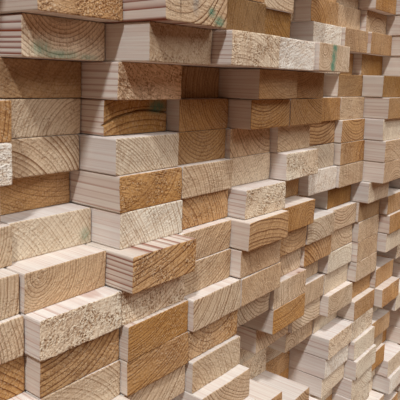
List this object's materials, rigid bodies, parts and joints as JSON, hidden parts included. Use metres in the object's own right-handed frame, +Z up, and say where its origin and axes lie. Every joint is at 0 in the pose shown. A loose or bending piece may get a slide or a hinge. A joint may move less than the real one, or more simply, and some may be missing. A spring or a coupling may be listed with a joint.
{
  "type": "stack of lumber",
  "caption": "Stack of planed softwood boards laid flat in tight layers, with uneven sawn ends.",
  "frame": {"origin": "centre of the stack's footprint, at the level it rests on", "axes": "+Z up, +Y along the boards from the front ends to the back ends, +X across the stack, to the right seen from the front"},
  "size_m": [1.2804, 2.535, 0.91],
  "materials": {
    "softwood": "planed faces, sawn ends"
  },
  "bodies": {
    "root": {"layer_01": "softwood", "layer_02": "softwood", "layer_03": "softwood", "layer_04": "softwood", "layer_05": "softwood", "layer_06": "softwood", "layer_07": "softwood", "layer_08": "softwood", "layer_09": "softwood", "layer_10": "softwood", "layer_11": "softwood", "layer_12": "softwood", "layer_13": "softwood", "layer_14": "softwood", "layer_15": "softwood", "layer_16": "softwood", "layer_17": "softwood", "layer_18": "softwood", "layer_19": "softwood", "layer_20": "softwood", "layer_21": "softwood", "layer_22": "softwood", "layer_23": "softwood", "layer_24": "softwood", "layer_25": "softwood", "layer_26": "softwood"}
  },
  "joints": []
}
